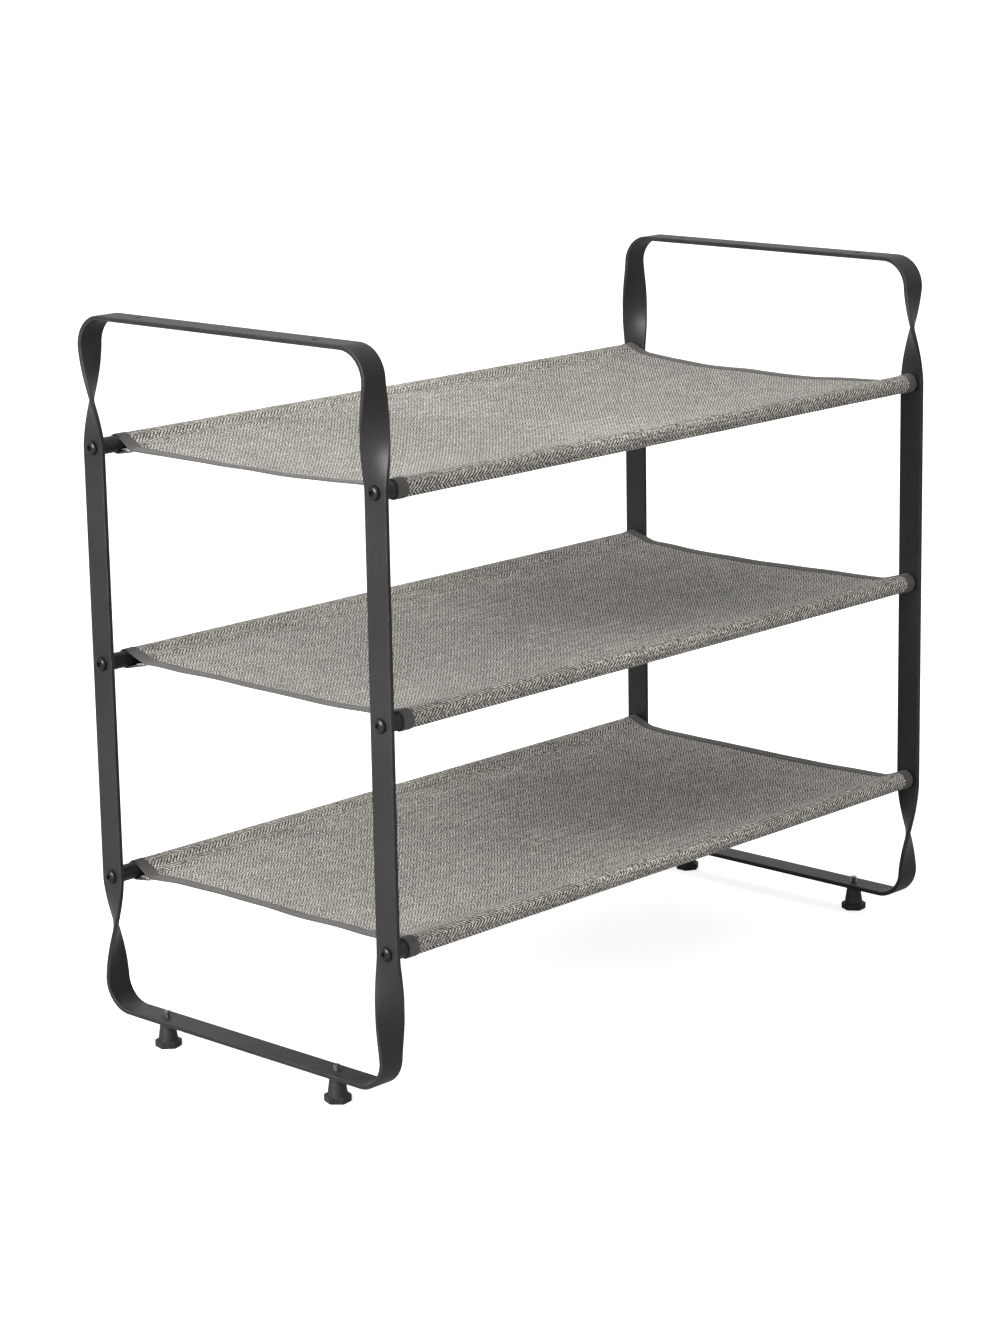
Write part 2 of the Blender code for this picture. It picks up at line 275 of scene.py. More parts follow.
def coat_grain_effect():
    """Fine orange peel of baked powder, with soft clouds of tone and a few brighter grains."""
    group, given, outlet = effect(
        "coat grain",
        {"Place": (VECTOR, (0, 0, 0)), "Grain": (FLOAT, 900.0)},
        {"Tone": FLOAT, "Height": FLOAT, "Gloss": FLOAT},
    )
    fine = cloud(group, given["Place"], given["Grain"], 3.0, 0.6)
    peel = cloud(group, given["Place"], calc(group, "MULTIPLY", given["Grain"], 0.35), 1.0)
    drift = cloud(group, given["Place"], 14.0, 3.0, 0.55)
    height = calc(group, "ADD", calc(group, "MULTIPLY", fine, 0.35), peel)
    clouds = spread(group, drift, 0.3, 0.7, -0.5, 0.5)
    tone = calc(group, "ADD", clouds, spread(group, fine, 0.3, 0.7, -0.5, 0.5))
    smooth = calc(group, "MULTIPLY", drift, 0.6)
    gloss = calc(group, "ADD", smooth, calc(group, "MULTIPLY", peel, 0.4))
    hand_out(group, outlet, tone=tone, height=height, gloss=gloss)
    return group


def edge_wear_effect():
    """Where handling has thinned the finish along an edge, broken up by noise."""
    group, given, outlet = effect(
        "edge wear",
        {"Place": (VECTOR, (0, 0, 0)), "Edge": (FLOAT, 0.0), "Reach": (FLOAT, 0.6)},
        {"Mask": FLOAT},
    )
    patchy = cloud(group, given["Place"], 60.0, 4.0, 0.65)
    nibbled = cloud(group, given["Place"], 700.0, 2.0, 0.5)
    broad = spread(group, patchy, 0.38, 0.68)
    worn = calc(group, "MULTIPLY", broad, spread(group, nibbled, 0.35, 0.6))
    near = spread(group, given["Edge"], given["Reach"], 1.0)
    hand_out(group, outlet, mask=calc(group, "MULTIPLY", worn, near))
    return group


def upward_paling_effect():
    """A faint, patchy mask over faces that look up, used to pale their colour and, on the powder
    coat, to roughen them.
    """
    group, given, outlet = effect(
        "upward paling", {"Place": (VECTOR, (0, 0, 0)), "Amount": (FLOAT, 0.2)}, {"Mask": FLOAT}
    )
    facing = group.nodes.new("ShaderNodeNewGeometry").outputs["Normal"]
    upward = add(group, "ShaderNodeSeparateXYZ", {0: facing}).outputs["Z"]
    patchy = spread(group, cloud(group, given["Place"], 35.0, 5.0, 0.7), 0.35, 0.75)
    mask = calc(group, "MULTIPLY", spread(group, upward, 0.3, 1.0), patchy)
    hand_out(group, outlet, mask=calc(group, "MULTIPLY", mask, given["Amount"]))
    return group


def herringbone_effect():
    """A two-over-two twill in light weft and dark warp, its lean turning round in every band, with
    painted shade in the hollows between yarns.
    """
    group, given, outlet = effect(
        "herringbone weave",
        {
            "Cloth": (VECTOR, (0, 0, 0)),
            "Warp pitch": (FLOAT, 0.00094),
            "Weft pitch": (FLOAT, 0.0008),
            "Light yarn": (COLOUR, (0.5, 0.48, 0.43, 1)),
            "Dark yarn": (COLOUR, (0.05, 0.048, 0.045, 1)),
        },
        {"Colour": COLOUR, "Height": FLOAT, "Shade": FLOAT},
    )
    along = add(group, "ShaderNodeSeparateXYZ", {0: given["Cloth"]})
    stray = spread(group, cloud(group, given["Cloth"], 260.0, 2.0, 0.6), 0.25, 0.75, -0.75, 0.75)
    warp = calc(group, "DIVIDE", along.outputs["X"], given["Warp pitch"])
    warp = calc(group, "ADD", warp, stray)
    weft = calc(group, "DIVIDE", along.outputs["Y"], given["Weft pitch"])
    weft = calc(group, "MULTIPLY_ADD", stray, 0.4, weft)
    column, row = calc(group, "FLOOR", warp), calc(group, "FLOOR", weft)
    lean = calc(group, "PINGPONG", row, 9.0)
    count = calc(group, "FLOORED_MODULO", calc(group, "ADD", column, lean), 4.0)
    warp_up = calc(group, "LESS_THAN", count, 1.5)
    across_warp, across_weft = calc(group, "FRACT", warp), calc(group, "FRACT", weft)
    across = add(
        group, "ShaderNodeMix", {0: warp_up, 2: across_weft, 3: across_warp}, data_type="FLOAT"
    ).outputs[0]
    off_middle = calc(group, "MULTIPLY_ADD", across, 2.0, -1.0)
    round_yarn = calc(group, "SUBTRACT", 1.0, calc(group, "MULTIPLY", off_middle, off_middle))
    cell = add(group, "ShaderNodeCombineXYZ", {0: column, 1: row}).outputs[0]
    chance = add(group, "ShaderNodeTexWhiteNoise", {0: cell}, noise_dimensions="2D").outputs[0]
    weft_line = add(group, "ShaderNodeTexWhiteNoise", {"W": row}, noise_dimensions="1D").outputs[0]
    slub = cloud(group, given["Cloth"], 330.0, 2.0, 0.6)
    drift = cloud(group, given["Cloth"], 42.0, 2.0, 0.5)
    shade = calc(group, "MULTIPLY_ADD", chance, 0.9, 0.48)
    shade = calc(group, "ADD", shade, spread(group, slub, 0.3, 0.7, -0.5, 0.5))
    shade = calc(group, "ADD", shade, spread(group, drift, 0.3, 0.7, -0.12, 0.12))
    shade = calc(group, "ADD", shade, calc(group, "MULTIPLY_ADD", weft_line, 0.16, -0.08))
    # Painted shade: darkens the colour in the hollows between the yarns, following each yarn's round
    # profile.
    painted_crevice_shade = spread(group, round_yarn, 0.0, 0.6, 0.35, 1.0)
    shade = calc(group, "MULTIPLY", shade, painted_crevice_shade)
    yarn = blend(group, warp_up, given["Light yarn"], given["Dark yarn"])
    grey = add(group, "ShaderNodeCombineColor", {0: shade, 1: shade, 2: shade}).outputs[0]
    colour = blend(group, 1.0, yarn, grey, "MULTIPLY")
    hand_out(group, outlet, colour=colour, height=round_yarn, shade=shade)
    return group


def tape_weave_effect():
    """A close ribbed tape, its ribs across the tape and fine twill lines between; its tone holds
    painted shade in their grooves.
    """
    group, given, outlet = effect(
        "tape weave",
        {"Cloth": (VECTOR, (0, 0, 0)), "Rib pitch": (FLOAT, 0.0011)},
        {"Tone": FLOAT, "Height": FLOAT},
    )
    along = add(group, "ShaderNodeSeparateXYZ", {0: given["Cloth"]})
    rib = calc(group, "DIVIDE", along.outputs["Y"], given["Rib pitch"])
    ribs = calc(group, "SINE", calc(group, "MULTIPLY", rib, 2 * math.pi))
    pitch = calc(group, "MULTIPLY", given["Rib pitch"], 0.8)
    slant = calc(group, "MULTIPLY_ADD", rib, 0.5, calc(group, "DIVIDE", along.outputs["X"], pitch))
    twill = calc(group, "SINE", calc(group, "MULTIPLY", slant, 2 * math.pi))
    fuzz = cloud(group, given["Cloth"], 500.0, 3.0, 0.6)
    height = calc(group, "MULTIPLY_ADD", ribs, 0.25, calc(group, "MULTIPLY", twill, 0.25))
    soft = spread(group, fuzz, 0.3, 0.7, -0.3, 0.3)
    # Painted shade: the tone falls with the ribs' and twill's height, darker in their grooves, and
    # the fuzz adds random tone on top.
    tone = calc(group, "ADD", calc(group, "MULTIPLY", height, 0.5), soft)
    hand_out(group, outlet, tone=tone, height=height)
    return group


def new_finish(name, roughness=0.5, metallic=0.0, specular_level=0.5):
    """A material with an empty Principled shader: (material, tree, shader, object place)."""
    made = bpy.data.materials.new(name)
    made.use_nodes = True
    tree = made.node_tree
    shader = tree.nodes["Principled BSDF"]
    shader.inputs["Roughness"].default_value = roughness
    shader.inputs["Metallic"].default_value = metallic
    shader.inputs["Specular IOR Level"].default_value = specular_level
    place = tree.nodes.new("ShaderNodeTexCoord").outputs["Object"]
    return made, tree, shader, place


def raise_relief(tree, shader, height, distance, strength=1.0):
    relief = add(
        tree, "ShaderNodeBump", {"Height": height, "Distance": distance, "Strength": strength}
    )
    tree.links.new(relief.outputs[0], shader.inputs["Normal"])


def powder_coat_finish(name, colour, worn_colour, roughness):
    made, tree, shader, place = new_finish(name, specular_level=0.34)
    grain = use(tree, COAT_GRAIN, place=place, grain=900.0)
    edge = add(tree, "ShaderNodeAttribute", attribute_name="edge").outputs["Fac"]
    wear = use(tree, EDGE_WEAR, place=place, edge=edge, reach=0.55)["Mask"]
    upward_paling = use(tree, UPWARD_PALING, place=place, amount=0.10)["Mask"]
    light = tuple(min(1.0, part * 1.35) for part in colour)
    dark = tuple(part * 0.75 for part in colour)
    toned = blend(tree, spread(tree, grain["Tone"], -0.7, 0.7), dark, light)
    toned = blend(tree, calc(tree, "MULTIPLY", wear, 0.55), toned, worn_colour)
    # Paler, greyer colour in patches on faces that look up.
    toned = blend(tree, upward_paling, toned, (0.30, 0.28, 0.26))
    tree.links.new(toned, shader.inputs["Base Color"])
    rough = calc(tree, "MULTIPLY_ADD", grain["Gloss"], 0.22, roughness - 0.11)
    rough = calc(tree, "ADD", rough, calc(tree, "MULTIPLY", upward_paling, 0.8))
    tree.links.new(rough, shader.inputs["Roughness"])
    raise_relief(tree, shader, grain["Height"], 0.00006)
    return made


def metal_finish(name, colour, roughness, metallic, worn_colour):
    made, tree, shader, place = new_finish(name, roughness, metallic)
    grain = use(tree, COAT_GRAIN, place=place, grain=500.0)
    edge = add(tree, "ShaderNodeAttribute", attribute_name="edge").outputs["Fac"]
    wear = use(tree, EDGE_WEAR, place=place, edge=edge, reach=0.4)["Mask"]
    dark = tuple(part * 0.7 for part in colour)
    light = tuple(min(1.0, part * 1.3) for part in colour)
    toned = blend(tree, spread(tree, grain["Tone"], -0.7, 0.7), dark, light)
    toned = blend(tree, wear, toned, worn_colour)
    tree.links.new(toned, shader.inputs["Base Color"])
    rough = calc(tree, "MULTIPLY_ADD", grain["Gloss"], 0.2, roughness - 0.1)
    tree.links.new(rough, shader.inputs["Roughness"])
    raise_relief(tree, shader, grain["Height"], 0.00003)
    return made


def moulded_finish():
    made, tree, shader, place = new_finish("moulded_black_plastic", 0.5)
    spark = cloud(tree, place, 1500.0, 2.0, 0.6)
    flow = cloud(tree, place, 120.0, 3.0, 0.6)
    toned = blend(tree, spread(tree, flow, 0.3, 0.7), (0.010, 0.0095, 0.009), (0.019, 0.018, 0.017))
    upward_paling = use(tree, UPWARD_PALING, place=place, amount=0.15)["Mask"]
    # Paler, greyer colour in patches on faces that look up.
    toned = blend(tree, upward_paling, toned, (0.28, 0.26, 0.24))
    tree.links.new(toned, shader.inputs["Base Color"])
    tree.links.new(spread(tree, flow, 0.2, 0.8, 0.38, 0.58), shader.inputs["Roughness"])
    raise_relief(tree, shader, spark, 0.00005)
    return made


def woven_finish():
    made, tree, shader, _ = new_finish("herringbone_cloth", 0.9, specular_level=0.25)
    shader.inputs["Sheen Weight"].default_value = 0.12
    cloth = tree.nodes.new("ShaderNodeTexCoord").outputs["UV"]
    weave = use(
        tree,
        HERRINGBONE,
        cloth=cloth,
        light_yarn=(0.66, 0.625, 0.555, 1),
        dark_yarn=(0.036, 0.034, 0.031, 1),
    )
    tree.links.new(weave["Colour"], shader.inputs["Base Color"])
    tree.links.new(spread(tree, weave["Shade"], 0.3, 1.2, 0.95, 0.75), shader.inputs["Roughness"])
    raise_relief(tree, shader, weave["Height"], 0.00022, 0.6)
    return made


def tape_finish(name, colour):
    made, tree, shader, _ = new_finish(name, 0.8, specular_level=0.3)
    shader.inputs["Sheen Weight"].default_value = 0.15
    cloth = tree.nodes.new("ShaderNodeTexCoord").outputs["UV"]
    weave = use(tree, TAPE_WEAVE, cloth=cloth)
    light = tuple(part * 1.3 for part in colour)
    dark = tuple(part * 0.7 for part in colour)
    # Base colour from the weave's tone, which carries painted shade in the rib grooves.
    toned = blend(tree, spread(tree, weave["Tone"], -0.5, 0.5), dark, light)
    tree.links.new(toned, shader.inputs["Base Color"])
    tree.links.new(spread(tree, weave["Tone"], -0.5, 0.5, 0.9, 0.7), shader.inputs["Roughness"])
    raise_relief(tree, shader, weave["Height"], 0.00012)
    return made


def thread_finish(name, colour):
    made, tree, shader, place = new_finish(name, 0.7)
    ply = cloud(tree, place, 2500.0, 2.0, 0.5)
    dark = tuple(part * 0.7 for part in colour)
    light = tuple(part * 1.3 for part in colour)
    toned = blend(tree, spread(tree, ply, 0.3, 0.7), dark, light)
    tree.links.new(toned, shader.inputs["Base Color"])
    tree.links.new(spread(tree, ply, 0.3, 0.7, 0.6, 0.8), shader.inputs["Roughness"])
    raise_relief(tree, shader, ply, 0.00005)
    return made


COAT_GRAIN = coat_grain_effect()
EDGE_WEAR = edge_wear_effect()
UPWARD_PALING = upward_paling_effect()
HERRINGBONE = herringbone_effect()
TAPE_WEAVE = tape_weave_effect()

WORN_COAT = (0.07, 0.065, 0.06)
powder_coat = powder_coat_finish(
    "charcoal_powder_coat", (0.0165, 0.0152, 0.0158), WORN_COAT, 0.40
)
rail_coat = powder_coat_finish("rail_powder_coat", (0.016, 0.0155, 0.015), WORN_COAT, 0.44)
black_oxide = metal_finish(
    "black_oxide_steel", (0.034, 0.034, 0.036), 0.26, 0.8, (0.30, 0.29, 0.28)
)
zinc = metal_finish("zinc_plate", (0.42, 0.42, 0.43), 0.38, 1.0, (0.55, 0.55, 0.55))
stud_steel = metal_finish("dark_stud_steel", (0.30, 0.30, 0.31), 0.26, 1.0, (0.60, 0.59, 0.57))
black_plastic = moulded_finish()
herringbone_cloth = woven_finish()
grey_tape = tape_finish("grey_edge_tape", (0.078, 0.074, 0.068))
dark_thread = thread_finish("dark_thread", (0.12, 0.115, 0.108))
grey_thread = thread_finish("grey_thread", (0.28, 0.268, 0.245))


# ---------------------------------------------------------------- side frames


def twist_share(u):
    """Share of the quarter turn done at share u of the twist: even, with eased ends."""
    return 0.5 * u + 0.5 * u * u * (3 - 2 * u)


def bar_ring(bm, half_height):
    """The bar's section at the handle's middle, its corners rounded."""
    edge = bm.verts.layers.float.new("edge")
    bmesh.ops.create_circle(
        bm,
        segments=16,
        radius=BAR_EDGE,
        matrix=Matrix.Rotation(math.pi / 2, 4, "X") @ Matrix.Rotation(math.pi / 16, 4, "Z"),
    )
    for vert in bm.verts:
        vert.co.x += math.copysign(BAR_WIDTH / 2 - BAR_EDGE, vert.co.x)
        vert.co.z += math.copysign(BAR_THICKNESS / 2 - BAR_EDGE, vert.co.z) + half_height
        vert[edge] = 1.0
    wide = [e for e in bm.edges if e.calc_length() > BAR_WIDTH / 2]
    bmesh.ops.subdivide_edges(bm, edges=wide, cuts=9)
    thin = [e for e in bm.edges if BAR_WIDTH / 2 > e.calc_length() > BAR_THICKNESS / 2]
    thin = [e for e in thin if abs(e.verts[0].co.x - e.verts[1].co.x) < BAR_EDGE]
    bmesh.ops.subdivide_edges(bm, edges=thin, cuts=1)
    for vert in bm.verts:
        inside = BAR_WIDTH / 2 - BAR_EDGE - abs(vert.co.x)
        if inside > 0.0005:
            vert[edge] = 0.0
        elif abs(vert.co.z - half_height) < 0.0003:
            vert[edge] = 0.3
    return bm.edges[:]


def extrude_ring(bm, ring, *moves):
    """Extrudes the bar's open end and moves the new ring; returns it."""
    new = bmesh.ops.extrude_edge_only(bm, edges=ring)["geom"]
    verts = [item for item in new if isinstance(item, bmesh.types.BMVert)]
    for move in moves:
        bmesh.ops.transform(bm, matrix=move, verts=verts)
    return [item for item in new if isinstance(item, bmesh.types.BMEdge)]


def bar_quarter(outward):
    """A quarter of the loop, from the handle's middle to the upright's mid height."""
    half_height = (FRAME_TOP - FRAME_BOTTOM - BAR_THICKNESS) / 2
    bend_y = UPRIGHT_Y - BEND_RADIUS
    bend_z = half_height - BEND_RADIUS
    bm = bmesh.new()
    ring = bar_ring(bm, half_height)
    for _ in range(4):
        ring = extrude_ring(bm, ring, Matrix.Translation((0, bend_y / 4, 0)))
    bend_axis = Matrix.Translation((0, bend_y, bend_z))
    bend_step = Matrix.Rotation(-math.pi / 2 / BEND_STEPS, 4, "X")
    for _ in range(BEND_STEPS):
        ring = extrude_ring(bm, ring, bend_axis @ bend_step @ bend_axis.inverted())
    upright_axis = Matrix.Translation((0, UPRIGHT_Y, 0))
    down = Matrix.Translation((0, 0, -TWIST_LENGTH / TWIST_STEPS))
    for i in range(TWIST_STEPS):
        share = twist_share((i + 1) / TWIST_STEPS) - twist_share(i / TWIST_STEPS)
        turn = Matrix.Rotation(-outward * share * math.pi / 2, 4, "Z")
        ring = extrude_ring(bm, ring, down, upright_axis @ turn @ upright_axis.inverted())
    for _ in range(4):
        ring = extrude_ring(bm, ring, Matrix.Translation((0, 0, (TWIST_LENGTH - bend_z) / 4)))
    bmesh.ops.recalc_face_normals(bm, faces=bm.faces)
    return bm


def drill(bm, radius, matrix):
    """Adds a drill with a chamfer at each face of the bar to a bmesh of cutters."""
    half, depth = BAR_THICKNESS / 2, 4 * BAR_THICKNESS
    chamfer = 0.0004
    profile = [
        (0, -depth / 2),
        (radius + chamfer, -depth / 2),
        (radius + chamfer, -half),
        (radius, chamfer - half),
        (radius, half - chamfer),
        (radius + chamfer, half),
        (radius + chamfer, depth / 2),
        (0, depth / 2),
    ]
    one = bmesh.new()
    turned(one, profile, 24)
    bmesh.ops.transform(one, matrix=matrix, verts=one.verts)
    part = bpy.data.meshes.new("drill")
    one.to_mesh(part)
    one.free()
    bm.from_mesh(part)
    bpy.data.meshes.remove(part)


def side_frame(side, outward):
    name = f"bent_bar_{side}"
    middle = (FRAME_TOP + FRAME_BOTTOM) / 2
    bar = finished(name, bar_quarter(outward), powder_coat)
    mirror = bar.modifiers.new("four quarters", "MIRROR")
    mirror.use_axis = (False, True, True)
    mirror.merge_threshold = 0.00005
    settled(bar)
    holes = bmesh.new()
    for y_sign in DEPTHS.values():
        for z, radius in (
            (FRAME_TOP - BAR_THICKNESS / 2 - middle, HANDLE_HOLE),
            (FRAME_BOTTOM + BAR_THICKNESS / 2 - middle, STUD_RADIUS + 0.0003),
        ):
            drill(holes, radius, Matrix.Translation((0, y_sign * FOOT_Y, z)))
        for level in LEVELS:
            spot = toward(outward, 0, y_sign * UPRIGHT_Y, RAIL_Z[level] - middle)
            drill(holes, STUD_RADIUS + 0.0002, spot)
    cut_away(bar, holes)
    even_shading(bar)
    place = Matrix.Translation((outward * FRAME_X, 0, middle))
    placed(bar, place, "rack", "powder_coat", f"side_frame_{side}")
    return bar


# ---------------------------------------------------------------- rails and screws


def tube_rail(level, depth):
    """A tube with a lightly broken edge at each end, turned about its length."""
    wall, ease, end = 0.0015, 0.0002, RAIL_END_X
    inner = RAIL_RADIUS - wall
    profile = [
        (inner, -end),
        (RAIL_RADIUS - ease, -end),
        (RAIL_RADIUS, ease - end),
        (RAIL_RADIUS, end - ease),
        (RAIL_RADIUS - ease, end),
        (inner, end),
        (inner, -end),
    ]
    bm = bmesh.new()
    turned(bm, profile, 64)
    for cut in (-0.32, -0.31, 0.31, 0.32):
        everything = bm.verts[:] + bm.edges[:] + bm.faces[:]
        bmesh.ops.bisect_plane(bm, geom=everything, plane_co=(0, 0, cut), plane_no=(0, 0, 1))
    rail = finished(f"tube_rail_{level}_{depth}", bm, rail_coat)
    place = toward(1, 0, DEPTHS[depth] * UPRIGHT_Y, RAIL_Z[level])
    return placed(rail, place, "rack", "rail_coat", f"rail_{level}_{depth}")


def button_screw(name):
    """A button-head socket screw along Z, the underside of its head at the origin."""
    profile = [(0, HEAD_HEIGHT), (0.42 * HEAD_RADIUS, HEAD_HEIGHT)]
    for i in range(1, 9):
        angle = i / 8 * math.pi / 2
        reach, rise = 0.42 + 0.58 * math.sin(angle), 0.22 + 0.78 * math.cos(angle)
        profile.append((reach * HEAD_RADIUS, rise * HEAD_HEIGHT))
    shank = SCREW_TOP_X - SCREW_TIP_X - HEAD_HEIGHT
    profile += [
        (HEAD_RADIUS, 0.00015),
        (HEAD_RADIUS - 0.00015, 0),
        (STUD_RADIUS, 0),
        (STUD_RADIUS, 0.0006 - shank),
        (STUD_RADIUS - 0.0006, -shank),
        (0, -shank),
    ]
    bm = bmesh.new()
    turned(bm, profile, 40)
    screw = finished(name, bm, black_oxide)
    socket = bmesh.new()
    bmesh.ops.create_cone(
        socket,
        cap_ends=True,
        segments=6,
        radius1=SOCKET_RADIUS,
        radius2=SOCKET_RADIUS,
        depth=HEAD_HEIGHT,
        matrix=Matrix.Translation((0, 0, 1.5 * HEAD_HEIGHT - SOCKET_DEPTH)),
    )
    cut_away(screw, socket)
    rim = screw.modifiers.new("broken edges", "BEVEL")
    rim.width = 0.00012
    rim.segments = 2
    rim.limit_method = "ANGLE"
    rim.angle_limit = math.radians(50)
    settled(screw, 40)
    even_shading(screw)
    return screw


def twin(piece, name):
    """A copy of a finished piece, shaded as it is."""
    other = bpy.data.objects.new(name, piece.data.copy())
    other.data.name = name
    bpy.context.scene.collection.objects.link(other)
    if piece.modifiers:
        even_shading(other)
    return other


def rails_and_screws():
    model = button_screw("button_screw")
    for level in LEVELS:
        for depth, y_sign in DEPTHS.items():
            tube_rail(level, depth)
            for side, outward in SIDES.items():
                spot = f"{level}_{depth}_{side}"
                screw = twin(model, f"button_screw_{spot}")
                turn = Matrix.Rotation(math.radians(draws.uniform(0, 60)), 4, "Z")
                face_x = outward * (SCREW_TOP_X - HEAD_HEIGHT)
                place = toward(outward, face_x, y_sign * UPRIGHT_Y, RAIL_Z[level]) @ turn
                placed(screw, place, "rack", "black_screw", f"rail_screw_{spot}")
                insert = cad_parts[f"rail_insert_{spot}"]
                for slot in insert.material_slots:
                    slot.material = zinc
    bpy.data.objects.remove(model)


# ---------------------------------------------------------------- feet


def threaded_stud(name):
    """A stud with a cut thread, made of one groove spun upwards turn after turn."""
    length = stud_high.z - stud_low.z
    turns = math.ceil(length / THREAD_PITCH) + 2
    root = STUD_RADIUS - THREAD_DEPTH
    bm = bmesh.new()
    groove = [
        (root, 0),
        (STUD_RADIUS, 0.42 * THREAD_PITCH),
        (STUD_RADIUS, 0.56 * THREAD_PITCH),
        (root, THREAD_PITCH),
    ]
    points = [bm.verts.new((x, 0, z - THREAD_PITCH)) for x, z in groove]
    edges = [bm.edges.new(pair) for pair in zip(points, points[1:])]
    steps = 20
    bmesh.ops.spin(
        bm,
        geom=points + edges,
        axis=(0, 0, 1),
        cent=(0, 0, 0),
        dvec=(0, 0, THREAD_PITCH / steps),
        angle=2 * math.pi * turns,
        steps=steps * turns,
    )
    bmesh.ops.remove_doubles(bm, verts=bm.verts, dist=0.00001)
    for height, up in ((0.0, -1), (length, 1)):
        bmesh.ops.bisect_plane(
            bm,
            geom=bm.verts[:] + bm.edges[:] + bm.faces[:],
            plane_co=(0, 0, height),
            plane_no=(0, 0, up),
            clear_outer=True,
        )
        rim = [
            edge
            for edge in bm.edges
            if edge.is_boundary and abs(edge.verts[0].co.z - height) < 1e-6
        ]
        bmesh.ops.contextual_create(bm, geom=rim)
    bmesh.ops.recalc_face_normals(bm, faces=bm.faces)
    return finished(name, bm, stud_steel, 30)


def hex_glide(name):
    """A hexagonal foot with a cone moulded on it, bored for the stud."""
    hex_low, hex_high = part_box("foot_glide_right_back")
    corner = (hex_high.y - hex_low.y) / 2
    top = hex_high.z
    bm = bmesh.new()
    bmesh.ops.create_cone(
        bm,
        cap_ends=True,
        segments=6,
        radius1=corner,
        radius2=corner,
        depth=HEX_HEIGHT,
        matrix=Matrix.Translation((0, 0, HEX_HEIGHT / 2)),
    )
    upright = [e for e in bm.edges if abs(e.verts[0].co.z - e.verts[1].co.z) > HEX_HEIGHT / 2]
    bmesh.ops.bevel(
        bm, geom=upright, offset=0.0008, segments=3, profile=0.5, affect="EDGES", material=-1
    )
    rims = [e for e in bm.edges if abs(e.verts[0].co.z - e.verts[1].co.z) < 0.0001]
    bmesh.ops.bevel(
        bm, geom=rims, offset=0.0005, segments=3, profile=0.5, affect="EDGES", material=-1
    )
    glide = finished(name, bm, black_plastic)
    cone = bmesh.new()
    cone_profile = [
        (0, HEX_HEIGHT - 0.001),
        (CONE_BOTTOM + 0.0003, HEX_HEIGHT - 0.001),
        (CONE_BOTTOM + 0.0003, HEX_HEIGHT),
        (CONE_BOTTOM, HEX_HEIGHT + 0.0003),
        (CONE_TOP + 0.0002, top - 0.0005),
        (CONE_TOP - 0.0004, top),
        (0, top),
    ]
    turned(cone, cone_profile, 48)
    tool = finished(f"{name}_cone", cone, black_plastic)
    join = glide.modifiers.new("cone", "BOOLEAN")
    join.operation = "UNION"
    join.object = tool
    join.solver = "EXACT"
    settled(glide)
    bpy.data.objects.remove(tool)
    bore = bmesh.new()
    radius = STUD_RADIUS + 0.0003
    bore_profile = [
        (0, 0.0077),
        (radius, 0.0077),
        (radius, top - 0.0004),
        (radius + 0.0006, top + 0.0002),
        (0, top + 0.0002),
    ]
    turned(bore, bore_profile, 32)
    cut_away(glide, bore)
    even_shading(glide)
    return glide


def feet():
    glide_model, stud_model = hex_glide("hex_glide"), threaded_stud("threaded_stud")
    for side, outward in SIDES.items():
        for depth, y_sign in DEPTHS.items():
            corner = f"{side}_{depth}"
            seat = Matrix.Translation((outward * FRAME_X, y_sign * FOOT_Y, 0))
            turn = Matrix.Rotation(math.radians(FOOT_TURNS[corner]), 4, "Z")
            glide = twin(glide_model, f"hex_glide_{corner}")
            placed(glide, seat @ turn, f"glide_{corner}", "glide_plastic", f"foot_glide_{corner}")
            stud = twin(stud_model, f"threaded_stud_{corner}")
            lifted = seat @ Matrix.Translation((0, 0, stud_low.z)) @ turn
            placed(stud, lifted, f"stud_{corner}", "stud_steel", f"foot_stud_{corner}")
    for model in (glide_model, stud_model):
        bpy.data.objects.remove(model)


# ---------------------------------------------------------------- shelves


def lift_off(px, pz, side):
    """Angle at the rail's axis where a line from (px, pz) touches the cloth's circle."""
    across, up = px - UPRIGHT_Y, pz
    return math.atan2(up, across) % (2 * math.pi) + side * math.acos(
        CLOTH_RADIUS / math.hypot(across, up)
    )


